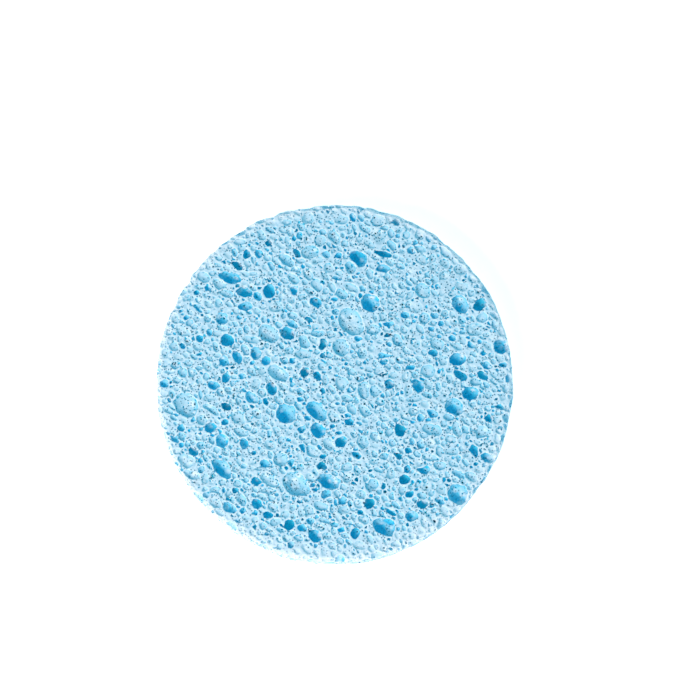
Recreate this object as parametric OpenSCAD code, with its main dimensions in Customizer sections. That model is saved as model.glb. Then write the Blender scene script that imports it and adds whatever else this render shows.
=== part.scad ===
// Round cleaning sponge: one flat disc of open-celled cellulose foam.
// Millimetres. The origin is the centre of the resting face, and +Z runs up through the thickness.
// The larger cut-open cells are real hollows. The finer ones are left to the surface finish.

/* [Disc] */
// Diameter across the rim
disc_d = 80; // [70:1:90]
// Thickness from the resting face to the top face
disc_t = 10; // [8:0.5:15]
// Rounding between each face and the side wall
edge_r = 1.5; // [0.5:0.1:2.5]

/* [Open cells] */
// Depth of a deep hole, as a share of its mouth
hole_share = 0.85; // [0.6:0.05:0.95]
// Depth of a half-cut bowl, as a share of its mouth
bowl_share = 0.5; // [0.35:0.05:0.55]
// Depth of a shallow dish, as a share of its mouth
dish_share = 0.25; // [0.15:0.05:0.3]
// Number of cells in the resting face
under_count = 80; // [20:1:90]
// Number of cells around the side wall
side_count = 30; // [8:1:36]

/* [Hidden] */
$fn = 96;
disc_r = disc_d / 2;
golden_turn = 137.508;
// Diameter that the top face's cells are placed for
placed_d = 80;
placed_scale = disc_d / placed_d;
// No cell goes deeper than this, so that the disc keeps a solid middle
depth_limit = 0.38 * disc_t;
// Clear margin between the rim and the resting face's outermost cell centres
under_margin = 4;
// Smallest mouth, and the range above it, in the resting face and in the side wall
under_mouth = [1.6, 2.6];
side_mouth = [1.4, 1.8];

// Top-face cells, each [x, y, width across the mouth]
HOLES = [
    [-14.5, 31, 1.8], [-19.5, 28.5, 2], [-22, 26, 2.4], [-23, 23, 3.4], [-20, 20, 2.8],
    [-14.5, 20, 2.8], [-8.5, 29, 1.9], [-9, 20.5, 1.8], [-4, 17.5, 2.4], [-5.5, 14, 1.7],
    [5.5, 27.5, 4], [11, 28.5, 2.6], [12, 10.5, 1.6], [32.5, 17.5, 3], [36.5, 8, 3.5],
    [27.5, 5, 3.2], [28, 1.5, 2.4], [33, 1.5, 2.2], [18.5, -1.5, 2.5], [30, -2.5, 3],
    [-23.5, 9, 2.8], [-30, 9.5, 1.5], [-34, 8, 1.5], [-21.5, 5.5, 2], [-10.5, 10.5, 2.8],
    [-2.5, 8.5, 2.3], [-6.5, 2, 2.4], [-3.5, 1, 2], [12, -0.5, 2.1], [-14, -1.5, 2.4],
    [-23.5, -5.5, 2.2], [-27.5, -10, 2.4], [-24.5, -9, 1.7], [-20, -13.5, 2], [3, -9, 2.1],
    [-3.5, -11, 3.3], [1.5, -13.5, 2.7], [14.5, -11, 2.8], [34, -8, 1.9], [31, -15.5, 2],
    [14, -16.5, 1.7], [5, -16.5, 1.7], [-3, -19, 1.9], [-31, -16, 2], [-17.5, -22.5, 1.9],
    [-22, -24, 1.4], [-17, -27.5, 2], [-14.5, -29.5, 1.9], [15.5, -22, 2.5], [16.5, -25, 1.8],
    [19.5, -27.5, 2.2], [7.5, -27, 2.5], [-10, -32, 2.6], [-4.5, -34.5, 2.7], [4.5, -33.5, 2.4],
    [11, -32, 4.5]
];
BOWLS = [
    [-17, 28.5, 2], [-17, 19, 2.1], [-20, 17, 2.5], [-25, 14, 2.8], [4, 37, 2.1],
    [8, 17.5, 4.4], [28, 17, 4], [17, 29.5, 1.9], [1, 28, 1.9], [11, 25, 2.6],
    [-9.5, 13, 2.2], [-17.5, 6, 2.9], [-15, 4.5, 2.2], [-24.5, 4.5, 2.2], [-24, 1, 2.6],
    [-27, -1, 2.3], [-37.5, -0.5, 2.2], [26, 9.5, 2], [34, 3.5, 2], [-18.5, -3.5, 2.8],
    [-34, -10.5, 2], [-35, -13, 1.9], [-24.5, -13, 2.9], [-10.5, -7, 4.6], [-4, -6.5, 4.4],
    [-7.5, -10.5, 1.9], [-7.5, -2, 1.8], [26.5, -5.5, 4.3], [22, -7, 2.4], [19, -8, 1.8],
    [19, -14, 1.9], [34, -17, 2.7], [20, -19.5, 2.5], [-15.5, -18, 2.2], [-7, -15, 1.8],
    [-25, -19.5, 3.4], [-1, -22, 4.4], [-2, -25.5, 2], [-23, -28, 2.6], [2, -26.5, 1.9],
    [23, -26.5, 1.9], [27, -25, 4.5], [17, -30, 2.8], [-7, -32.5, 2.1], [-9.5, -36.5, 1.7]
];
DISHES = [
    [-21, 31.5, 2.6], [-29, 23.5, 3.4], [-24, 20, 2.5], [0, 32.5, 2.8], [-0.5, 21.5, 2.6],
    [-7, 19, 2.1], [28, 25, 2.9], [20, 20.5, 4], [-30.5, 14, 2.1], [-15, 10.5, 3.2],
    [-7, 8.5, 2.6], [2, 7.5, 4.2], [3, 12, 4], [23, 8.5, 3.4], [16, 7, 2.3],
    [21, 2.5, 3.7], [3.5, 2.5, 2.2], [1.5, -0.5, 3.1], [6.5, -2, 3.4], [3, -4, 2.4],
    [6.5, -6.5, 2.9], [-33, -5.5, 5.6], [-27, -6, 3], [-20.5, -11, 3], [-17.5, -7.5, 2.3],
    [9, -12.5, 2.3], [22, -11, 3.4], [32.5, -11.5, 3.8], [3, -19, 2.1], [-12.5, -18.5, 2.3],
    [-9, -23, 5.2], [8.5, -23, 2.7]
];

// A number from 0 to 1 that differs for each whole number n
function scatter(n, step) = n * step - floor(n * step);

// One round cell cut open by the plane z = 0, with the given mouth and depth below that plane
module cell(mouth, depth) {
    ball_r = (mouth * mouth / 4 + depth * depth) / (2 * depth);
    translate([0, 0, ball_r - depth]) sphere(ball_r);
}

// The foam block itself: a disc whose two rims are rounded over
module disc() {
    rotate_extrude() {
        square([disc_r - edge_r, disc_t]);
        translate([0, edge_r]) square([disc_r, disc_t - 2 * edge_r]);
        translate([disc_r - edge_r, edge_r]) circle(edge_r);
        translate([disc_r - edge_r, disc_t - edge_r]) circle(edge_r);
    }
}

// A list of top-face cells, all cut to the same share of their mouths
module top_cells(places, share) {
    for (place = places) {
        mouth = place[2] * placed_scale;
        translate([place[0] * placed_scale, place[1] * placed_scale, disc_t])
            cell(mouth, min(share * mouth, depth_limit));
    }
}

// Cells of the resting face, spread evenly in a spiral that leaves the centre whole
module under_cells() {
    for (i = [1 : under_count]) {
        reach = (disc_r - under_margin) * sqrt(i / under_count);
        mouth = under_mouth[0] + under_mouth[1] * scatter(i, 0.445);
        share = dish_share + (hole_share - dish_share) * scatter(i, 0.287);
        rotate(i * golden_turn) translate([reach, 0, 0]) mirror([0, 0, 1])
            cell(mouth, min(share * mouth, depth_limit));
    }
}

// Cells of the side wall, one every equal step round the rim at varying heights
module side_cells() {
    for (i = [1 : side_count]) {
        height = disc_t * (0.35 + 0.3 * scatter(i, 0.618));
        mouth = side_mouth[0] + side_mouth[1] * scatter(i, 0.445);
        rotate(i * 360 / side_count) translate([disc_r, 0, height]) rotate([0, 90, 0])
            cell(mouth, bowl_share * mouth);
    }
}

module sponge() {
    color("lightskyblue") difference() {
        disc();
        top_cells(HOLES, hole_share);
        top_cells(BOWLS, bowl_share);
        top_cells(DISHES, dish_share);
        under_cells();
        side_cells();
    }
}

sponge();
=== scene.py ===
"""A round cellulose sponge: one disc of open-celled foam on a plain pale floor.

The foam is made the way it forms. Bubbles of many sizes are packed into the block that the frame
gives, thin walls are kept between them, and the block's faces cut them open at random heights.
Lengths inside the foam are millimetres, and the finished mesh is in metres in the frame.
"""

import math

import bpy
import numpy as np
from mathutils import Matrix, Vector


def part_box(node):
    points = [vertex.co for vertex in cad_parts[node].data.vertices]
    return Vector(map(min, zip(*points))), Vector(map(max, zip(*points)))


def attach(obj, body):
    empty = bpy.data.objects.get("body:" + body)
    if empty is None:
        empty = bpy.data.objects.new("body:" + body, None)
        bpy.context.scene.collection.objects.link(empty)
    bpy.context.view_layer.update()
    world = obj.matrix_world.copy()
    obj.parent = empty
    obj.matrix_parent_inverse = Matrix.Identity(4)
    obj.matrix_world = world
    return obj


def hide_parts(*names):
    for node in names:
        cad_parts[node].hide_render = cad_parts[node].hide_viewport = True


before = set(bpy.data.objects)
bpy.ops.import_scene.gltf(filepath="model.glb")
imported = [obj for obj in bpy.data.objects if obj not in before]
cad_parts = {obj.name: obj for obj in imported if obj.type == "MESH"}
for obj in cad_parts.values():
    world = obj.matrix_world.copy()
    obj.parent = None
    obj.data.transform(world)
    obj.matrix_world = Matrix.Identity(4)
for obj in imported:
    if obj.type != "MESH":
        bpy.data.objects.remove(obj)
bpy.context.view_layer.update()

import openvdb
from mathutils import Vector

SEED = 7
MM = 0.001
# Width of a voxel. The foam is drawn coarser while things are tried.
PITCH = 0.18

LOW, HIGH = (np.array(corner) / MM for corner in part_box("sponge"))
MIDDLE = (LOW + HIGH) / 2
RADIUS = (HIGH[0] - LOW[0]) / 2
THICKNESS = HIGH[2] - LOW[2]
EDGE_ROUND = 1.5
# How far the rough surface's mean level lies inside the CAD box, at the rim and at the two faces
INSET = 0.1
FACE_INSET = 0.2
# Height of the listed cells' mouths
TOP = HIGH[2] - 0.15
# Rim waves as the number round the disc, the height and the phase. The first makes a slight oval.
RIM_WAVES = [
    (2, 0.24, -1.57), (3, 0.05, 0.4), (5, 0.06, 2.1),
    (8, 0.05, 4.0), (13, 0.05, 1.2), (29, 0.04, 5.1),
]
# Mean thickness of the wall between two cells
WALL = 0.28
# Mouths narrower than this get no lumps
SMOOTH_BELOW = 1.3
# Distance over which a lump melts into its cell
MERGE = 0.5
# No listed cell goes deeper than this, apart from its pocket
DEEPEST = 0.28 * THICKNESS
# Voxels this near to a surface count as on it
ON_SURFACE = 0.6 * PITCH
# Mean turn of the random cells' lengths in degrees. Most of the photographed ones lean this way.
GRAIN_TURN = -42
# A surface whose normal rises more than this belongs to the top face
FACES_UP = 0.7
# Stands for no bubble yet
FAR = np.float32(9)

# Colours of the foam: linear RGB, by what a point of it is. Some are painted light or shade, as said
# at each.
# Painted shade: the less of the sky a point sees, the darker and more azure it is painted, standing
# for the shade and the blue scattered light in the cells
SHADE_BY_OPENNESS = [
    (0.00, (0.012, 0.84, 1.0)),
    (0.10, (0.018, 0.80, 1.0)),
    (0.38, (0.09, 0.72, 0.95)),
    (0.65, (0.30, 0.70, 0.87)),
    (0.85, (0.46, 0.72, 0.85)),
    (1.00, (0.65, 0.775, 0.865)),
]
CUT_SKIN = (0.66, 0.80, 0.91)
# Painted highlight on thin edges and ridges, which stand in the light
RIDGE_HIGHLIGHT = (0.84, 0.93, 1.0)
MOTTLE = (0.20, 0.60, 0.82)
# Painted shade inside the pricked pores
PORE_SHADE = (0.02, 0.25, 0.38)
# Painted shade: dark dots that stand for the shade in pinholes too small to model
PINHOLE_SHADE = (0.05, 0.22, 0.32)
# Painted light: the pale colour laid on the rim
RIM_LIGHT_PAINT = (0.88, 0.90, 0.96)
BLACK = (0, 0, 0)
WHITE = (1, 1, 1)

# The main cells of the top face: x, y, length, width, and the turn of the length
# from +X in degrees. Deep holes show their dark insides, bowls are cut in half, dishes are shallow,
# and hollows are shallower still.
HOLES = [
    (-14.7, 31, 1.8, 1.6, 90), (-19.5, 28.6, 2.0, 1.8, 0), (-21.8, 26, 3.0, 1.6, -25),
    (-23, 23.2, 4.2, 2.3, -15), (-20.2, 20, 3.4, 2.2, -10), (-14.4, 20.2, 3.2, 2.4, -60),
    (-8.3, 28.8, 2.3, 1.5, -55), (-9, 20.5, 1.9, 1.6, 90), (-4, 17.7, 2.8, 2.0, -15),
    (-5.6, 13.9, 2.0, 1.3, -20), (5.3, 27.7, 4.3, 3.7, -45), (10.8, 28.7, 4.0, 1.6, -15),
    (12, 10.4, 1.9, 1.3, 0), (32.5, 17.3, 3.1, 2.8, 0), (36.8, 7.9, 3.8, 3.3, -45),
    (27.4, 5, 3.9, 2.7, 0), (27.9, 1.4, 3.0, 1.9, -20), (32.9, 1.3, 2.6, 1.9, -30),
    (18.7, -1.2, 2.9, 2.1, -50), (30.1, -2.7, 3.3, 2.8, -50), (-23.7, 9.2, 2.9, 2.7, -50),
    (-30, 9.6, 1.8, 1.2, -25), (-33.8, 8, 1.7, 1.4, -30), (-21.5, 5.5, 2.4, 1.7, -50),
    (-10.4, 10.8, 3.1, 2.4, -35), (-2.6, 8.4, 2.4, 2.2, -45), (-6.6, 2, 2.5, 2.2, 90),
    (-3.7, 1.2, 2.4, 1.6, -70), (12.2, -0.6, 2.4, 1.8, -10), (-13.9, -1.6, 3.0, 1.9, -60),
    (-23.7, -5.7, 2.7, 1.8, -40), (-27.3, -10.1, 2.6, 2.2, -20), (-24.3, -9.2, 1.8, 1.6, 0),
    (-20, -13.7, 2.1, 1.9, 0), (3.1, -9.1, 2.6, 1.6, -15), (-3.7, -11, 3.5, 3.1, -60),
    (1.5, -13.7, 2.9, 2.5, 0), (14.6, -11, 3.1, 2.5, -60), (34.1, -8.2, 1.9, 1.9, 0),
    (30.8, -15.4, 3.0, 1.4, -75), (14.2, -16.6, 2.0, 1.4, -15), (5, -16.4, 2.2, 1.4, -20),
    (-2.9, -19, 2.3, 1.6, 0), (-31.1, -15.8, 2.7, 1.6, -30), (-17.3, -22.3, 2.2, 1.7, -40),
    (-21.9, -24.1, 1.5, 1.2, 0), (-16.9, -27.3, 2.2, 1.9, -20), (-14.5, -29.7, 2.3, 1.6, 0),
    (15.3, -21.9, 2.8, 2.3, 0), (16.7, -25.2, 1.9, 1.7, 0), (19.3, -27.4, 2.4, 2.1, 0),
    (7.7, -27.1, 2.6, 2.4, 0), (-9.9, -31.8, 2.8, 2.5, 90), (-4.2, -34.4, 3.0, 2.4, -60),
    (4.6, -33.7, 2.5, 2.3, 90),
    (-30.7, 19.9, 1.3, 1.3, 0), (-28.2, 20.9, 1.6, 1.1, -25), (-32.9, 14.3, 1.2, 1.0, 0),
    (0.7, 23.2, 1.9, 0.8, -20), (0, 18.3, 1.6, 0.8, -20), (13.6, 35.8, 1.8, 1.4, -45),
    (23.6, 13, 1.3, 1.3, 0), (21.4, 11.8, 1.1, 1.0, 0), (22, 6.3, 1.8, 1.4, -40),
    (16.8, 3.1, 1.6, 1.2, 0), (23.3, 2.3, 1.1, 0.9, 80), (10.9, 4.4, 1.7, 0.9, -5),
    (-2.6, 5.7, 1.3, 1.2, 0), (-18.3, 4.1, 1.0, 0.9, 0), (-22.6, 3.1, 1.3, 0.7, 0),
    (-2.6, -2, 1.3, 1.0, -20), (-5.9, -8.1, 1.5, 1.1, -25), (-0.3, -10, 1.2, 1.0, 0),
    (1, -11.5, 1.5, 0.8, -15), (-2.4, -16.8, 1.7, 1.0, 0), (16.3, -15.4, 1.7, 1.3, -15),
    (16.1, -19.5, 1.4, 1.4, 0), (7.9, -19.9, 1.1, 0.9, 0), (4.9, -21.9, 1.4, 1.0, 80),
    (5.8, -29.1, 1.6, 1.2, 0), (-4.3, -24, 1.2, 1.1, 0), (-7.7, -26.7, 1.7, 0.8, -10),
    (12.6, -29.2, 1.9, 0.9, -35), (25.3, -22, 1.3, 1.1, -30), (30.9, -11.8, 1.2, 1.0, -60),
    (31.2, -18.4, 1.0, 0.9, 0), (-17.7, -16, 1.3, 1.1, 0), (-22, -6.5, 1.0, 0.9, 0),
    (-12.6, -29.9, 1.2, 1.0, 90), (36.5, -5.7, 1.9, 1.1, -30), (37.5, 3.7, 1.7, 1.1, 0),
    (1.5, 10.6, 1.5, 0.6, -35), (-15.2, -4.6, 1.7, 1.3, -60), (10.8, -23.1, 1.8, 1.0, 90),
]
BOWLS = [
    (-16.8, 28.6, 2.1, 1.9, 0), (-17, 19.1, 2.2, 1.9, -30), (-19.8, 16.8, 3.6, 1.8, 0),
    (-24.8, 13.9, 3.0, 2.5, 90), (4, 37, 2.5, 1.8, -50), (8, 17.7, 4.7, 4.2, -45),
    (28, 17.3, 4.8, 3.5, -50), (17.2, 29.6, 2.3, 1.6, -30), (0.9, 28.3, 2.0, 1.8, -45),
    (10.8, 25.4, 3.3, 2.0, 0), (-9.5, 13, 3.2, 1.6, -30), (-17.4, 6.2, 3.0, 2.7, -30),
    (-15.1, 4.5, 2.4, 2.2, -60), (-24.5, 4.5, 2.3, 2.0, 90), (-23.9, 0.9, 2.7, 2.4, 90),
    (-26.8, -0.9, 2.9, 1.8, -15), (-37.6, -0.5, 2.4, 2.0, 0), (26.2, 9.6, 2.2, 1.8, -45),
    (33.8, 3.5, 2.7, 1.5, -15), (-18.5, -3.6, 3.1, 2.5, -40), (-33.9, -10.4, 2.2, 1.8, 0),
    (-35.2, -12.9, 2.9, 1.3, -40), (-24.7, -13.1, 3.0, 2.8, 90), (-10.7, -7.2, 5.0, 4.2, -40),
    (-4, -6.5, 5.3, 3.6, -40), (-7.2, -10.6, 2.3, 1.5, 0), (-7.4, -2.2, 2.5, 1.3, -15),
    (26.4, -5.6, 4.5, 4.0, -70), (21.8, -7.1, 2.9, 2.0, -15), (19.1, -8.2, 2.0, 1.5, -50),
    (19.1, -14, 2.0, 1.7, 90), (33.9, -17, 3.0, 2.4, -30), (19.8, -19.7, 3.5, 1.8, 0),
    (-15.4, -18.2, 2.4, 2.0, 0), (-7, -14.9, 2.5, 1.3, -50), (-25, -19.2, 5.3, 3.4, -45),
    (-1.2, -22.2, 5.6, 3.5, -20), (-1.8, -25, 2.2, 1.9, 0), (-23, -28, 3.4, 2.0, -50),
    (1.8, -26.5, 2.3, 1.5, -20), (23.2, -26.4, 2.5, 1.5, -30), (27.1, -25, 4.7, 4.2, -30),
    (17, -29.9, 3.0, 2.7, 0), (-7.2, -32.5, 2.5, 1.8, -15), (-9.6, -36.3, 2.1, 1.4, -40),
    (21.1, 32.1, 1.5, 1.3, 0), (22.2, 30.1, 1.4, 1.1, 0), (-27.8, 11, 1.6, 1.2, -60),
    (-29.9, 6.1, 1.6, 0.9, 0), (-30.3, 16.3, 2.8, 1.2, -30), (-33.9, 15.9, 1.3, 1.0, 0),
    (-22.2, 28.8, 1.7, 1.1, -70), (-7.7, 32.7, 1.8, 1.2, -60), (15.6, 14.9, 2.1, 1.7, -30),
    (17.7, 13.6, 1.3, 1.0, 70), (22.3, 14.8, 1.9, 1.5, -30), (5.4, 9.6, 1.8, 1.1, 0),
    (12.2, 8.3, 1.3, 1.2, 0), (11.1, 5.8, 2.6, 1.2, 0), (12, 12.8, 2.6, 1.2, -15),
    (-9.2, 4.5, 2.2, 1.2, -45), (-20.5, 1.2, 1.7, 1.2, -20), (30.3, 8.2, 1.8, 1.1, -50),
    (30.5, 1.3, 1.1, 1.0, 0), (38.7, 0.8, 2.2, 1.8, 90), (3.1, -7.5, 2.0, 1.0, -10),
    (3.2, -1.6, 1.5, 1.2, -30), (-7.6, -4, 1.9, 1.2, -15), (5.5, -9.3, 1.5, 0.9, -35),
    (17.2, -13.3, 1.6, 1.1, -50), (21.5, -27.5, 1.5, 1.2, 90), (29.9, -23.6, 1.8, 1.1, -50),
    (-9.5, -18.1, 1.6, 1.2, -45), (-20.2, -28.6, 1.5, 1.2, 0), (-21, -30.8, 1.6, 1.3, -30),
    (-5.5, -31, 1.8, 1.2, -30), (1.5, -33, 1.9, 1.3, -10), (7, -33.3, 1.3, 1.0, -30),
    (11, -32.2, 5.2, 3.8, -25),
]
DISHES = [
    (-21.1, 31.4, 3.4, 1.9, 0), (-29.1, 23.3, 4.2, 2.6, -20), (-24, 19.8, 3.3, 1.9, -30),
    (0, 32.4, 3.9, 2.1, -45), (-0.7, 21.5, 3.6, 1.8, -55), (-7, 18.9, 2.2, 2.0, 0),
    (28, 25.2, 3.3, 2.6, 0), (19.7, 20.3, 4.5, 3.6, -45), (-30.6, 14.1, 2.4, 1.8, 0),
    (-14.4, 10.5, 4.9, 4.3, -30), (-6.8, 8.9, 3.9, 2.7, -50), (1.8, 7.4, 4.3, 4.1, 0),
    (3.4, 13.6, 6.6, 5.4, -40), (22.9, 8.4, 4.0, 2.8, -30), (15.8, 6.9, 2.9, 1.8, -40),
    (20.9, 2.3, 4.0, 3.4, 0), (3.7, 2.3, 3.0, 1.6, -45), (1.6, -0.5, 3.2, 3.0, 0),
    (6.6, -1.9, 3.7, 3.1, 90), (2.8, -3.9, 2.7, 2.2, -20), (6.7, -6.7, 4.0, 2.0, -45),
    (-33.1, -5.4, 6.2, 5.2, -50), (-27.2, -6.1, 4.2, 2.1, -30), (-20.4, -11.3, 4.0, 2.3, -15),
    (-17.4, -7.3, 2.7, 2.0, -60), (8.9, -12.5, 2.9, 1.9, -40), (21.9, -10.8, 4.5, 2.5, -25),
    (32.4, -11.2, 5.0, 2.9, -10), (3, -19.1, 3.2, 2.2, 0), (-12.1, -17.6, 3.7, 3.0, -40),
    (-8.4, -23.1, 7.0, 4.9, -38), (8.3, -23.1, 3.3, 3.1, 90), (7.2, 37.7, 3.3, 1.4, -30),
    (-4, 21.7, 3.1, 2.3, -55), (-10.8, 27.4, 4.4, 2.5, -35), (8.3, 21.3, 2.0, 1.7, 0),
    (-12.4, 2, 5.4, 3.6, -35), (23, -1, 2.4, 1.5, -70), (-2.2, -30.9, 2.5, 1.6, -10),
    (-25.2, -29.2, 3.0, 1.7, -40), (-31.5, -20.6, 3.7, 1.7, -20), (-15, -24.3, 3.4, 1.4, 0),
    (18.7, -23.1, 2.1, 1.1, 0), (22.5, -22, 1.9, 1.5, 0), (-29.6, -3, 2.4, 1.3, -60),
    (-25.8, 27.6, 2.4, 1.3, -30), (-26, 26, 1.9, 1.3, -40), (-18, 24.2, 1.8, 1.3, 0),
    (-17, 22.4, 2.2, 1.5, -60), (6.6, 34.4, 3.6, 1.9, -30), (11.2, 34.5, 2.4, 1.3, 0),
    (7.8, 24.1, 2.7, 1.6, -50), (-9, 23, 3.5, 2.4, -50), (16, 32.8, 2.7, 1.7, -30),
    (17.8, 34, 1.7, 1.1, -50), (16.6, 31.4, 1.9, 1.3, 0), (24.8, 29, 3.7, 2.0, -50),
    (21.9, 27.7, 2.3, 2.1, 0), (30.8, 23.1, 2.6, 1.9, -50), (35.8, 14.7, 2.4, 1.7, -40),
    (-28.1, 8.8, 1.9, 1.7, 0), (-21.6, 8, 2.0, 1.7, 0), (-27.5, 5.2, 2.2, 1.5, 0),
    (-36.8, 2.1, 2.6, 1.1, -15), (-18.4, 2.2, 3.0, 1.7, -45), (-36.8, -6.6, 2.8, 1.4, -25),
    (-15.2, -10.1, 2.7, 1.5, -20), (6.4, 6.2, 2.8, 2.3, -60), (10.2, -4.6, 2.5, 1.5, -20),
    (19, 11.6, 2.8, 1.9, -40), (23.8, 11, 2.6, 1.3, -40), (31.1, 6.1, 2.5, 1.4, -20),
    (14, 3.1, 2.5, 1.7, -40), (-14.6, -21.8, 4.5, 2.8, -40), (-15.8, -32.1, 2.3, 1.7, -50),
    (-27.7, -14.4, 2.1, 1.3, 0), (6.1, -13.3, 3.4, 2.9, -50), (6, -25.1, 2.5, 1.9, -20),
    (-3.1, -27.9, 3.3, 2.5, 0), (-0.5, -28.4, 2.4, 1.4, 90), (1.9, -28.6, 3.2, 2.3, 0),
    (3, -31.4, 2.9, 1.4, 0), (2.6, -38, 2.0, 1.6, 0), (29, -18.1, 2.2, 1.3, -50),
    (27.2, -20.6, 3.5, 1.7, -30), (14, -25.9, 2.7, 1.5, -20), (24.4, -28.9, 3.5, 1.9, -45),
    (13.5, -36.2, 2.7, 1.9, -20), (-4, -37.9, 2.1, 1.7, 0), (-12.1, -35.2, 2.0, 1.1, -40),
    (15.7, -34.3, 2.0, 1.6, -60), (-9.2, -33.6, 1.7, 1.5, 0), (-11, 35.8, 2.5, 1.5, 0),
]
HOLLOWS = [
    (-13, 16.6, 3.7, 3.1, -30), (-26.1, 17.5, 3.0, 2.2, -40), (-16.4, 32.8, 3.4, 2.3, -60),
    (-3.1, 31.8, 2.9, 2.5, 0), (1.9, 36.5, 3.4, 2.7, 0), (0.9, 24.3, 2.7, 1.7, -30),
    (-3.7, 27.3, 3.1, 2.1, 0), (3.9, 21.1, 4.2, 2.3, -15), (12.4, 26.7, 3.2, 2.4, 0),
    (28.1, 21.5, 4.2, 2.6, -20), (-33.8, 11.4, 4.1, 2.7, -30), (-18.5, 9.4, 4.7, 1.9, -10),
    (-32.3, 4.1, 2.1, 1.7, 0), (-37.9, 6, 3.1, 2.4, 90), (-26.3, 1.8, 2.0, 1.4, 0),
    (-27.6, -3.6, 3.5, 1.9, 0), (-21.1, -8.1, 4.4, 2.8, -38), (-6.7, 6, 5.0, 2.3, -15),
    (8.3, 7.4, 2.6, 2.1, -30), (13.3, 1.3, 2.5, 1.9, 0), (-11.5, -0.9, 3.7, 1.9, -20),
    (11, -8.2, 2.8, 2.1, -20), (-0.8, -4, 3.1, 1.7, -40), (31.4, 11.6, 4.5, 3.5, 0),
    (17.3, 7.6, 2.5, 1.5, -40), (17.5, -3.9, 4.3, 2.0, 0), (30.6, 3.1, 2.2, 1.9, 90),
    (34.1, -2.9, 2.3, 1.9, 0), (37.9, -1.4, 2.7, 2.1, 90), (30.5, -7.6, 2.8, 2.1, 0),
    (25.5, -12.9, 2.8, 1.8, -15), (-34.6, -15.6, 2.5, 1.9, 0), (-32.2, -18, 4.7, 3.1, -30),
    (-14.2, -14.1, 3.5, 2.8, -30), (-18.1, -18, 2.6, 2.1, 0), (9, -14.2, 2.5, 1.7, -40),
    (-5.6, -21.2, 2.5, 1.6, -45), (3.1, -21.5, 2.8, 2.3, 0), (3.9, -23.8, 1.8, 1.4, 0),
    (8.9, -18, 2.5, 1.9, 0), (13.1, -25.7, 2.5, 1.9, 0), (21.2, -16.8, 4.7, 2.0, -5),
    (25.9, -15.7, 3.7, 2.2, 0), (14.5, -19.5, 2.4, 1.6, 0), (21.8, -23.2, 2.0, 1.7, 0),
    (19, -33.3, 2.4, 1.6, 0), (5.6, -36.4, 3.6, 2.1, 0), (-22.8, -35, 3.0, 2.0, -30),
]


def lattice_noise(rng, shape, pitch, size):
    """Smooth noise of about unit strength whose bumps are `size` millimetres wide."""
    counts = [int(math.ceil(n * pitch / size)) + 4 for n in shape]
    field = rng.standard_normal(counts).astype(np.float32)
    for axis, n in enumerate(shape):
        at = np.arange(n) * pitch / size + 1
        base = np.floor(at).astype(int)
        t = (at - base)[:, None]
        weights = np.hstack([(1 - t) ** 3, 3 * t**3 - 6 * t**2 + 4, 0 * t, t**3]) / 6
        weights[:, 2] = 1 - weights[:, 0] - weights[:, 1] - weights[:, 3]
        spread = np.zeros((n, counts[axis]), np.float32)
        for k in range(4):
            spread[np.arange(n), base - 1 + k] = weights[:, k]
        field = np.moveaxis(np.tensordot(spread, field, axes=(1, axis)), 0, axis)
    # The smoothing weakens the draws by about this factor
    regain = np.float32(2.2)
    return field * regain


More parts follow.
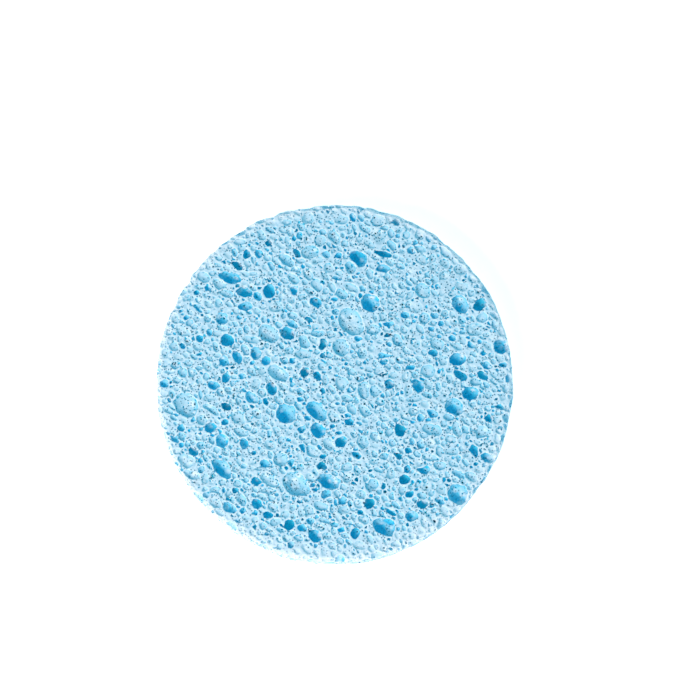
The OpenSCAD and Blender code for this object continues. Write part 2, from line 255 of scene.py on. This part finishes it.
class Foam:
    """Distance fields over the block, and the bubbles stamped into them."""

    def __init__(self, rng):
        self.rng = rng
        margin = 3 * PITCH + 0.6
        self.origin = LOW - margin
        self.shape = tuple(int(n) for n in np.ceil((HIGH + margin - self.origin) / PITCH) + 1)
        axes = [self.origin[i] + PITCH * np.arange(self.shape[i]) for i in range(3)]
        x, y, z = (a.astype(np.float32) for a in np.meshgrid(*axes, indexing="ij"))
        self.block = self.block_distance(x, y, z)
        self.warped = [a + self.noise((3.2, 0.26), (1.4, 0.12), (0.8, 0.05)) for a in (x, y, z)]
        self.grain = self.noise((0.55, 0.045))
        self.nearest = np.full(self.shape, FAR, np.float32)
        self.second = np.full(self.shape, FAR, np.float32)
        self.cut = np.full(self.shape, FAR, np.float32)

    def noise(self, *octaves):
        """A sum of noises, each given as the width of its bumps and its strength."""
        return sum(
            np.float32(strength) * lattice_noise(self.rng, self.shape, PITCH, size)
            for size, strength in octaves
        )

    def block_distance(self, x, y, z):
        """Distance to the disc's own surface, with a rim that isn't a perfect circle."""
        turn = np.arctan2(y - MIDDLE[1], x - MIDDLE[0])
        reach = np.hypot(x - MIDDLE[0], y - MIDDLE[1])
        rim = RADIUS - INSET + sum(size * np.sin(n * turn + start) for n, size, start in RIM_WAVES)
        rough = self.noise((2.6, 0.07), (1.2, 0.05), (0.6, 0.03))
        side = reach - (rim - EDGE_ROUND)
        lid = np.abs(z - MIDDLE[2]) - (THICKNESS / 2 - FACE_INSET - EDGE_ROUND)
        outside = np.hypot(np.maximum(side, 0), np.maximum(lid, 0))
        distance = outside + np.minimum(np.maximum(side, lid), 0) - EDGE_ROUND + rough
        return distance.astype(np.float32)

    def index(self, points):
        """Grid indices of the voxels nearest to an (n, 3) array of points."""
        at = np.rint((points - self.origin) / PITCH).astype(int)
        return tuple(np.clip(at[:, i], 0, self.shape[i] - 1) for i in range(3))

    def patch(self, centre, reach, anchor):
        """The slices around a ball, and the offsets from its centre in the warped space.

        The anchor is the point that the warp leaves in its place.
        """
        low = np.floor((centre - reach - self.origin) / PITCH).astype(int)
        high = np.ceil((centre + reach - self.origin) / PITCH).astype(int) + 1
        low = np.clip(low, 0, self.shape)
        high = np.clip(high, 0, self.shape)
        where = tuple(slice(a, b) for a, b in zip(low, high))
        still = self.index(anchor[None])
        shift = [self.warped[i][still][0] - (self.origin + PITCH * still[i][0])[i] for i in range(3)]
        return where, [self.warped[i][where] - np.float32(centre[i] + shift[i]) for i in range(3)]

    def ellipsoid(self, offsets, radii, turn):
        """Signed distance to an ellipsoid turned about Z."""
        x, y, z = offsets
        c, s = math.cos(turn), math.sin(turn)
        u = x * c + y * s
        v = y * c - x * s
        a, b, h = (np.float32(r) for r in radii)
        ratio = np.sqrt((u / a) ** 2 + (v / b) ** 2 + (z / h) ** 2)
        slope = np.sqrt((u / a**2) ** 2 + (v / b**2) ** 2 + (z / h**2) ** 2)
        return ratio * (ratio - 1) / np.maximum(slope, 1e-4)

    def bubble(self, centre, radii, turn, anchor, lumps=()):
        """Blows one bubble with its lumps. Its neighbours keep a wall against it."""
        wall_and_warp = 0.9
        where, offsets = self.patch(centre, 1.15 * max(radii) + wall_and_warp, anchor)
        distance = self.ellipsoid(offsets, radii, turn)
        for shift, radius in lumps:
            parts = [o - np.float32(s) for o, s in zip(offsets, shift)]
            ball = np.sqrt(sum(p * p for p in parts)) - np.float32(radius)
            blend = np.maximum(1 - np.abs(distance - ball) / np.float32(MERGE), 0)
            distance = np.minimum(distance, ball) - blend**2 * np.float32(MERGE / 4)
        near = self.nearest[where]
        pushed = np.maximum(near, distance)
        self.second[where] = np.minimum(self.second[where], pushed)
        self.nearest[where] = np.minimum(near, distance)

    def prick(self, start, inward, radius, depth):
        """Pricks a narrow round-ended hole that leaves no wall."""
        warp = 0.7
        where, offsets = self.patch(start + inward * depth / 2, depth / 2 + radius + warp, start)
        offsets = [o + np.float32(inward[i] * depth / 2) for i, o in enumerate(offsets)]
        along = sum(o * np.float32(inward[i]) for i, o in enumerate(offsets))
        along = np.clip(along, 0, depth)
        aside = [o - along * np.float32(inward[i]) for i, o in enumerate(offsets)]
        distance = np.sqrt(sum(o * o for o in aside)) - np.float32(radius)
        self.cut[where] = np.minimum(self.cut[where], distance)

    def cell(self, place, outward, mouth, depth, turn, pocket=False):
        """A bubble that a face of the block cuts open, with its mouth's length and width.

        A pocket is a deeper part on the side that lies in the shade.
        """
        across = math.sqrt(mouth[0] * mouth[1])
        ball = (across**2 / 4 + depth**2) / (2 * depth)
        radii = (ball * mouth[0] / across, ball * mouth[1] / across, ball)
        rise = outward * (ball - depth)
        uneven = across > SMOOTH_BELOW and depth > 0.4 * across
        lumps = self.lumps(outward, across, depth, rise) if uneven else []
        if pocket:
            aside, sink, size = np.array((-0.15, -0.13, 0.0)), 0.85, 0.28
            lumps.append((aside * across - sink * depth * outward - rise, size * across))
        self.bubble(place + rise, radii, turn, place, lumps)

    def lumps(self, outward, across, depth, rise):
        """Small balls merged into a large cell, so that its floor and its mouth aren't even."""
        rng = self.rng
        aside = np.cross(outward, (0.3, 0.9, 0.3))
        aside /= np.linalg.norm(aside)
        ahead = np.cross(outward, aside)
        made = []
        count = 3
        for _ in range(count):
            angle = 2 * math.pi * rng.random()
            reach = 0.5 * across * (0.25 + 0.65 * rng.random())
            flat = reach * (math.cos(angle) * aside + math.sin(angle) * ahead)
            sink = outward * depth * (0.1 + 0.65 * rng.random())
            made.append((flat - sink - rise, across * (0.14 + 0.1 * rng.random())))
        return made

    def cut_open(self, rows, share, pocket=False):
        """The top face's own cells, each as deep as this share of its mouth."""
        up = np.array((0, 0, 1.0))
        for x, y, length, width, turn in rows:
            depth = min(share * math.sqrt(length * width), DEEPEST)
            mouth = (length, width)
            self.cell(np.array((x, y, TOP)), up, mouth, depth, math.radians(turn), pocket)

    def spots_on(self, field, band, tries):
        """Random points where a field crosses zero, with the way that the field rises at each."""
        chosen = self.rng.choice(band, tries)
        voxels = np.stack(np.unravel_index(chosen, self.shape), axis=1)
        outward = np.empty((tries, 3))
        for axis in range(3):
            step = np.eye(3, dtype=int)[axis]
            ahead = np.minimum(voxels + step, np.array(self.shape) - 1)
            behind = np.maximum(voxels - step, 0)
            outward[:, axis] = field[tuple(ahead.T)] - field[tuple(behind.T)]
        outward /= np.maximum(np.linalg.norm(outward, axis=1, keepdims=True), 1e-6)
        points = self.origin + PITCH * (voxels + self.rng.random((tries, 3)) - 0.5)
        return points, outward

    def pave(self, rounds, tries, mouths, gap, shares, on_top=1.0, skew=1.5):
        """Opens random cells all over the block's faces, each as wide as its drawn size or its room.

        `shares` are the depths as shares of the mouth, and a higher skew makes more of them shallow.
        `gap` is how near a neighbour may come, and `on_top` the share of cells kept on the top face.
        """
        rng = self.rng
        face = np.abs(self.block) < ON_SURFACE
        for _ in range(rounds):
            band = np.flatnonzero(face & (self.nearest > gap * mouths[0] / 2))
            if not len(band):
                break
            points, outward = self.spots_on(self.block, band, tries)
            drawn = mouths[0] + (mouths[1] - mouths[0]) * rng.random(tries) ** 1.5
            keep = (outward[:, 2] < FACES_UP) | (rng.random(tries) < on_top)
            share = shares[0] + (shares[1] - shares[0]) * rng.random(tries) ** skew
            stretch = np.sqrt(1 + 0.8 * rng.random(tries) ** 1.5)
            turns = np.radians(GRAIN_TURN + 22 * rng.standard_normal(tries))
            for i in np.flatnonzero(keep):
                room = 2 * self.nearest[self.index(points[i : i + 1])][0] / gap
                if room > mouths[0]:
                    size = min(drawn[i], room)
                    mouth = (size * stretch[i], size / stretch[i])
                    self.cell(points[i], outward[i], mouth, share[i] * size, turns[i])

    def fill(self, tries, radii, gap, depths):
        """Blows random bubbles inside the block between two depths, where they have room."""
        rng = self.rng
        band = np.flatnonzero((self.block > -depths[1]) & (self.block < -depths[0]))
        voxels = np.stack(np.unravel_index(rng.choice(band, tries), self.shape), axis=1)
        centres = self.origin + PITCH * (voxels + rng.random((tries, 3)) - 0.5)
        sizes = radii[0] + (radii[1] - radii[0]) * rng.random(tries) ** 1.5
        stretch = np.sqrt(1 + 0.5 * rng.random(tries))
        turns = np.radians(GRAIN_TURN + 24 * rng.standard_normal(tries))
        for i in np.flatnonzero(self.nearest[self.index(centres)] > gap * sizes):
            spot = self.index(centres[i : i + 1])
            if self.nearest[spot][0] > gap * sizes[i]:
                shape = (sizes[i] * stretch[i], sizes[i] / stretch[i], sizes[i])
                self.bubble(centres[i], shape, turns[i], centres[i])

    def pit(self, tries, radii, lengths, between):
        """Pricks small open pores into whatever surface there is by now, cell walls included.

        `between` is the least and the greatest depth below the block's own surface.
        """
        rng = self.rng
        solid = self.solid()
        within = (self.block > -between[1]) & (self.block < PITCH - between[0])
        skin = np.flatnonzero((np.abs(solid) < ON_SURFACE) & within)
        points, outward = self.spots_on(solid, skin, tries)
        sizes = radii[0] + (radii[1] - radii[0]) * rng.random(tries) ** 2
        drawn = lengths[0] + (lengths[1] - lengths[0]) * rng.random(tries)
        for point, out, size, length in zip(points, outward, sizes, drawn):
            self.prick(point, -out, size, length)

    def solid(self):
        """Distance to the finished foam: negative in the walls, positive in air."""
        kept = (self.nearest - self.second + np.float32(WALL)) / 2
        cells = np.maximum(self.nearest, kept) + self.grain
        cells = np.minimum(cells, self.cut)
        return np.maximum(self.block, -cells)


def grow_foam(rng):
    """The listed cells first, then random ones from the widest down, wherever there is room."""
    foam = Foam(rng)
    foam.cut_open(HOLES, share=1.0, pocket=True)
    foam.cut_open(BOWLS, share=0.5, pocket=True)
    foam.cut_open(DISHES, share=0.29)
    foam.cut_open(HOLLOWS, share=0.2)
    foam.pave(3, 3000, mouths=(2.4, 4.5), gap=0.9, shares=(0.15, 0.5), on_top=0)
    foam.pave(6, 6000, mouths=(1.4, 3.4), gap=0.8, shares=(0.15, 0.36), on_top=0.35)
    foam.pave(8, 9000, mouths=(0.8, 1.8), gap=0.85, shares=(0.22, 1.1), on_top=0.36, skew=1.3)
    foam.pave(14, 30000, mouths=(0.3, 0.8), gap=0.75, shares=(0.22, 1.2), skew=4)
    foam.fill(60000, radii=(0.5, 1.2), gap=0.8, depths=(0.9, 2.8))
    foam.pit(12000, radii=(0.1, 0.2), lengths=(0.3, 0.6), between=(0.0, 2.0))
    foam.pit(16000, radii=(0.09, 0.17), lengths=(0.25, 0.5), between=(0.3, 3.0))
    return foam


def largest_shell(points, faces):
    """Marks the biggest connected surface, so that sealed voids and loose crumbs can go."""
    order = np.argsort(faces, axis=None, kind="stable")
    starts = np.searchsorted(faces.ravel()[order], np.arange(len(points)))
    label = np.arange(len(points))
    while True:
        lowest = label[faces].min(axis=1)
        best = np.minimum.reduceat(np.repeat(lowest, 4)[order], starts)
        new = np.minimum(label, best)
        np.minimum.at(new, label, best)
        new = new[new]
        if np.array_equal(new, label):
            break
        label = new
    names, sizes = np.unique(label, return_counts=True)
    return label == names[sizes.argmax()]


def mesh_from(foam, field):
    """The surface where the field is zero, as points and four-sided faces."""
    grid = openvdb.FloatGrid(1.0)
    grid.copyFromArray(np.clip(field, -1, 1), tolerance=0)
    points, _, quads = grid.convertToPolygons(isovalue=0.0, adaptivity=0.0)
    keep = largest_shell(points, quads)
    renumber = np.cumsum(keep) - 1
    quads = renumber[quads[keep[quads[:, 0]]]]
    return points[keep] * PITCH + foam.origin, quads


def visible_sky(air, axis, sign, slopes):
    """Share of the light along one slanted direction that reaches each voxel."""
    layers = np.moveaxis(air, axis, 0)
    if sign > 0:
        layers = layers[::-1]
    sky = np.empty_like(layers)
    sky[0] = 1
    reach = int(max(abs(slopes[0]), abs(slopes[1]))) + 2
    n, m = layers.shape[1:]
    for k in range(1, len(layers)):
        a, b = (reach + round(k * s) - round((k - 1) * s) for s in slopes)
        padded = np.pad(sky[k - 1], reach, constant_values=1)
        sky[k] = padded[a : a + n, b : b + m] * layers[k]
    if sign > 0:
        sky = sky[::-1]
    return np.moveaxis(sky, 0, axis)


def sample(field, foam, points):
    """Trilinear reading of a field at points."""
    at = (points - foam.origin) / PITCH
    base = np.floor(at).astype(int)
    base = np.clip(base, 0, np.array(foam.shape) - 2)
    t = np.clip(at - base, 0, 1).astype(np.float32)
    total = np.zeros(len(points), np.float32)
    for dx in (0, 1):
        for dy in (0, 1):
            for dz in (0, 1):
                w = np.ones(len(points), np.float32)
                for i, d in enumerate((dx, dy, dz)):
                    w *= t[:, i] if d else 1 - t[:, i]
                total += w * field[base[:, 0] + dx, base[:, 1] + dy, base[:, 2] + dz]
    return total


def openness(foam, field, points, normals):
    """How much of the sky in front of it each point of the surface sees, from 0 to 1."""
    air = np.clip(field / PITCH + 0.5, 0, 1)
    seen = np.zeros(len(points), np.float32)
    total = np.zeros(len(points), np.float32)
    spots = foam.index(points + normals * 1.2 * PITCH)
    for axis in (2, 0, 1):
        slopes = [(0, 0)]
        for lean, count in ((0.6, 6), (1.3, 6)) if axis == 2 else ((0.7, 4),):
            slopes += [
                (lean * math.cos(2 * math.pi * k / count), lean * math.sin(2 * math.pi * k / count))
                for k in range(count)
            ]
        for sign in (1, -1):
            for slope in slopes:
                direction = np.insert(np.array(slope, float), axis, sign)
                direction /= np.linalg.norm(direction)
                facing = np.maximum(normals @ direction, 0).astype(np.float32)
                sky = visible_sky(air, axis, sign, slope)
                seen += facing * sky[spots]
                total += facing
    return seen / np.maximum(total, 1e-3)


def thinness(foam, field, points):
    """How sharply the foam stands out round each point: 0 where flat or hollow, 1 on a thin edge."""
    blur, sharpest = 0.35, 0.18
    reach = round(blur / PITCH)
    filled = np.clip(0.5 - field / PITCH, 0, 1)
    for axis in range(3):
        total = np.cumsum(filled, axis=axis)
        ahead = np.roll(total, -reach, axis=axis)
        behind = np.roll(total, reach + 1, axis=axis)
        filled = (ahead - behind) / (2 * reach + 1)
    return np.clip((0.5 - sample(filled, foam, points)) / sharpest, 0, 1)


def painted_rim_light(points):
    """How pale the rim is painted, as painted light: 0 on the face, 1 at the rim.

    The pale band is wider along the near side, which the key light falls on, and the side away from
    the key light, which lies in shade, is painted paler. Half way down the wall the rim is painted
    less pale.
    """
    x, y = points[:, 0] - MIDDLE[0], points[:, 1] - MIDDLE[1]
    reach = np.hypot(x, y)
    band, wider, inset = 2.4, 2.2, 0.2
    usual, by_side = 0.78, 0.22
    kept, fade, spared = 0.8, 1.5, 0.85
    start = RADIUS - band - wider * np.clip(-y / np.maximum(reach, 1), 0, 1)
    away = (x + y) / (math.sqrt(2) * np.maximum(reach, 1))
    pale_paint = np.clip((reach - start) / (RADIUS - inset - start), 0, 1) * (usual + by_side * away)
    from_face = np.minimum(TOP - points[:, 2], points[:, 2] - LOW[2])
    pale_paint *= 1 - spared * np.clip((from_face - kept) / fade, 0, 1)
    return pale_paint.astype(np.float32)


def grow_surface():
    """The foam's surface: points, four-sided faces, and what the material needs at each point."""
    foam = grow_foam(np.random.default_rng(SEED))
    field = foam.solid()
    points, quads = mesh_from(foam, field)
    gradient = np.stack(
        [sample(np.gradient(field, axis=i), foam, points) for i in range(3)], axis=1
    )
    normals = gradient / np.maximum(np.linalg.norm(gradient, axis=1, keepdims=True), 1e-6)
    facts = {
        "open": openness(foam, field, points, normals),
        "depth": -sample(foam.block, foam, points),
        "pore": np.clip(1 - sample(foam.cut, foam, points) / PITCH, 0, 1),
        "edge": thinness(foam, field, points),
        "rim": painted_rim_light(points),
    }
    return points, quads, facts


def foam_object(name, points, quads, facts):
    """A mesh object of the surface, with its facts as attributes of its points."""
    mesh = bpy.data.meshes.new(name)
    mesh.vertices.add(len(points))
    mesh.vertices.foreach_set("co", (points * MM).astype(np.float32).ravel())
    mesh.loops.add(4 * len(quads))
    mesh.loops.foreach_set("vertex_index", quads[:, ::-1].astype(np.int32).ravel())
    mesh.polygons.add(len(quads))
    mesh.polygons.foreach_set("loop_start", np.arange(0, 4 * len(quads), 4, dtype=np.int32))
    mesh.polygons.foreach_set("use_smooth", np.ones(len(quads), bool))
    mesh.update()
    for fact, values in facts.items():
        mesh.attributes.new(fact, "FLOAT", "POINT").data.foreach_set("value", values)
    piece = bpy.data.objects.new(name, mesh)
    bpy.context.scene.collection.objects.link(piece)
    return piece


def new_material(name):
    """A material with its node tree and its shader."""
    material = bpy.data.materials.new(name)
    material.use_nodes = True
    tree = material.node_tree
    return material, tree, tree.nodes["Principled BSDF"]


def ramp(tree, factor, stops):
    """Colours by a number from 0 to 1, between stops of a place and a colour."""
    node = tree.nodes.new("ShaderNodeValToRGB")
    tree.links.new(factor, node.inputs["Fac"])
    elements = node.color_ramp.elements
    while len(elements) < len(stops):
        elements.new(0.5)
    for element, (at, colour) in zip(elements, stops):
        element.position = at
        element.color = (*colour, 1)
    return node.outputs["Color"]


def fact(tree, name):
    """One of the numbers that the mesh holds at each point."""
    node = tree.nodes.new("ShaderNodeAttribute")
    node.attribute_name = name
    return node.outputs["Fac"]


def mix(tree, factor, first, second):
    """The first colour, gone over to the second as the factor goes from 0 to 1."""
    share, below, above, mixed = 0, 6, 7, 2
    node = tree.nodes.new("ShaderNodeMix")
    node.data_type = "RGBA"
    tree.links.new(factor, node.inputs[share])
    tree.links.new(first, node.inputs[below])
    node.inputs[above].default_value = (*second, 1)
    return node.outputs[mixed]


def math_node(tree, operation, first, second):
    """One sum on two numbers. The second may be a plain number."""
    node = tree.nodes.new("ShaderNodeMath")
    node.operation = operation
    tree.links.new(first, node.inputs[0])
    if isinstance(second, bpy.types.NodeSocket):
        tree.links.new(second, node.inputs[1])
    else:
        node.inputs[1].default_value = second
    return node.outputs[0]


def noise_node(tree, size, detail):
    """Noise whose bumps are about `size` millimetres wide."""
    place = tree.nodes.new("ShaderNodeTexCoord")
    node = tree.nodes.new("ShaderNodeTexNoise")
    node.inputs["Scale"].default_value = 1 / (size * MM)
    node.inputs["Detail"].default_value = detail
    tree.links.new(place.outputs["Object"], node.inputs["Vector"])
    return node.outputs["Fac"]


def foam_material():
    """Pale where it is cut, azure with painted shade deep in the cells, a painted highlight where it
    is thin, painted shade in pinholes and pores, mottling, and painted light at the rim.
    """
    material, tree, shader = new_material("cellulose_foam")
    # Painted shade in the cells, by how much of the sky each point sees
    colour = ramp(tree, fact(tree, "open"), SHADE_BY_OPENNESS)
    skin_depth = 0.25
    depth = math_node(tree, "DIVIDE", fact(tree, "depth"), skin_depth)
    colour = mix(tree, ramp(tree, depth, [(0.2, WHITE), (0.8, BLACK)]), colour, CUT_SKIN)
    # Painted highlight where the foam is thin
    colour = mix(tree, fact(tree, "edge"), colour, RIDGE_HIGHLIGHT)
    mottle = ramp(tree, noise_node(tree, 0.45, 3), [(0.45, BLACK), (0.75, (0.45, 0.45, 0.45))])
    colour = mix(tree, mottle, colour, MOTTLE)
    # Painted shade: surfaces inside the pricked pores are darkened a little
    pore = math_node(tree, "MULTIPLY", fact(tree, "pore"), 0.2)
    colour = mix(tree, pore, colour, PORE_SHADE)
    # Painted shade: dark dots for pinholes, fewer where less of the sky is seen
    dots = tree.nodes.new("ShaderNodeTexVoronoi")
    dots.inputs["Scale"].default_value = 1 / (0.65 * MM)
    place = tree.nodes.new("ShaderNodeTexCoord")
    tree.links.new(place.outputs["Object"], dots.inputs["Vector"])
    pinholes = ramp(tree, dots.outputs["Distance"], [(0.22, WHITE), (0.31, BLACK)])
    pinholes = math_node(tree, "MULTIPLY", pinholes, fact(tree, "open"))
    colour = mix(tree, pinholes, colour, PINHOLE_SHADE)
    # Painted light at the rim, wider on the near lit side and paler on the shaded far side
    colour = mix(tree, fact(tree, "rim"), colour, RIM_LIGHT_PAINT)
    tree.links.new(colour, shader.inputs["Base Color"])
    bump = tree.nodes.new("ShaderNodeBump")
    bump.inputs["Strength"].default_value = 0.5
    bump.inputs["Distance"].default_value = 0.16 * MM
    tree.links.new(noise_node(tree, 0.3, 3), bump.inputs["Height"])
    tree.links.new(bump.outputs["Normal"], shader.inputs["Normal"])
    shader.inputs["Roughness"].default_value = 0.9
    shader.inputs["Specular IOR Level"].default_value = 0.2
    return material


def add_floor():
    """A wide white floor that glows, so that it stays white under the soft light."""
    size = 3.0
    bpy.ops.mesh.primitive_plane_add(size=size, location=(0, 0, 0))
    floor = bpy.context.object
    floor.name = "floor"
    material, _, shader = new_material("pale_floor")
    shader.inputs["Base Color"].default_value = (0.95, 0.95, 0.95, 1)
    shader.inputs["Roughness"].default_value = 0.9
    shader.inputs["Emission Color"].default_value = (*WHITE, 1)
    shader.inputs["Emission Strength"].default_value = 0.78
    floor.data.materials.append(material)


def add_lights():
    """A warm key from the near left, and a blue sky that fills the shaded sides of the cells."""
    place = Vector((-0.54, -0.58, 0.80))
    key = bpy.data.lights.new("key", "AREA")
    key.size = 0.55
    key.energy = 12.2
    key.color = (1, 0.755, 0.66)
    lamp = bpy.data.objects.new("key", key)
    lamp.location = place
    lamp.rotation_euler = (-place).to_track_quat("-Z", "Y").to_euler()
    bpy.context.scene.collection.objects.link(lamp)
    world = bpy.data.worlds.new("studio")
    world.use_nodes = True
    world.node_tree.nodes["Background"].inputs["Color"].default_value = (0.2, 0.77, 1, 1)
    world.node_tree.nodes["Background"].inputs["Strength"].default_value = 0.62
    bpy.context.scene.world = world


def add_camera():
    """Looks down on the disc, leaning a little towards its near edge."""
    lens, sensor = 150, 36
    lean = math.radians(8)
    frame_width = 0.1551
    distance = frame_width * lens / sensor
    slide = Vector((0.00345, 0.0069, 0))
    back = Vector((0, -math.sin(lean), math.cos(lean)))
    up = Vector((0, math.cos(lean), math.sin(lean)))
    aim = Vector((0, 0, HIGH[2] * MM))
    data = bpy.data.cameras.new("camera")
    data.lens = lens
    data.sensor_width = sensor
    camera = bpy.data.objects.new("camera", data)
    camera.location = aim + slide.x * Vector((1, 0, 0)) + slide.y * up + back * distance
    camera.rotation_euler = (lean, 0, 0)
    bpy.context.scene.collection.objects.link(camera)
    bpy.context.scene.camera = camera


bpy.context.scene.view_settings.view_transform = "Standard"
add_camera()
add_lights()
add_floor()
sponge = foam_object("sponge_foam", *grow_surface())
sponge.data.materials.append(foam_material())
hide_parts("sponge")
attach(sponge, "root")
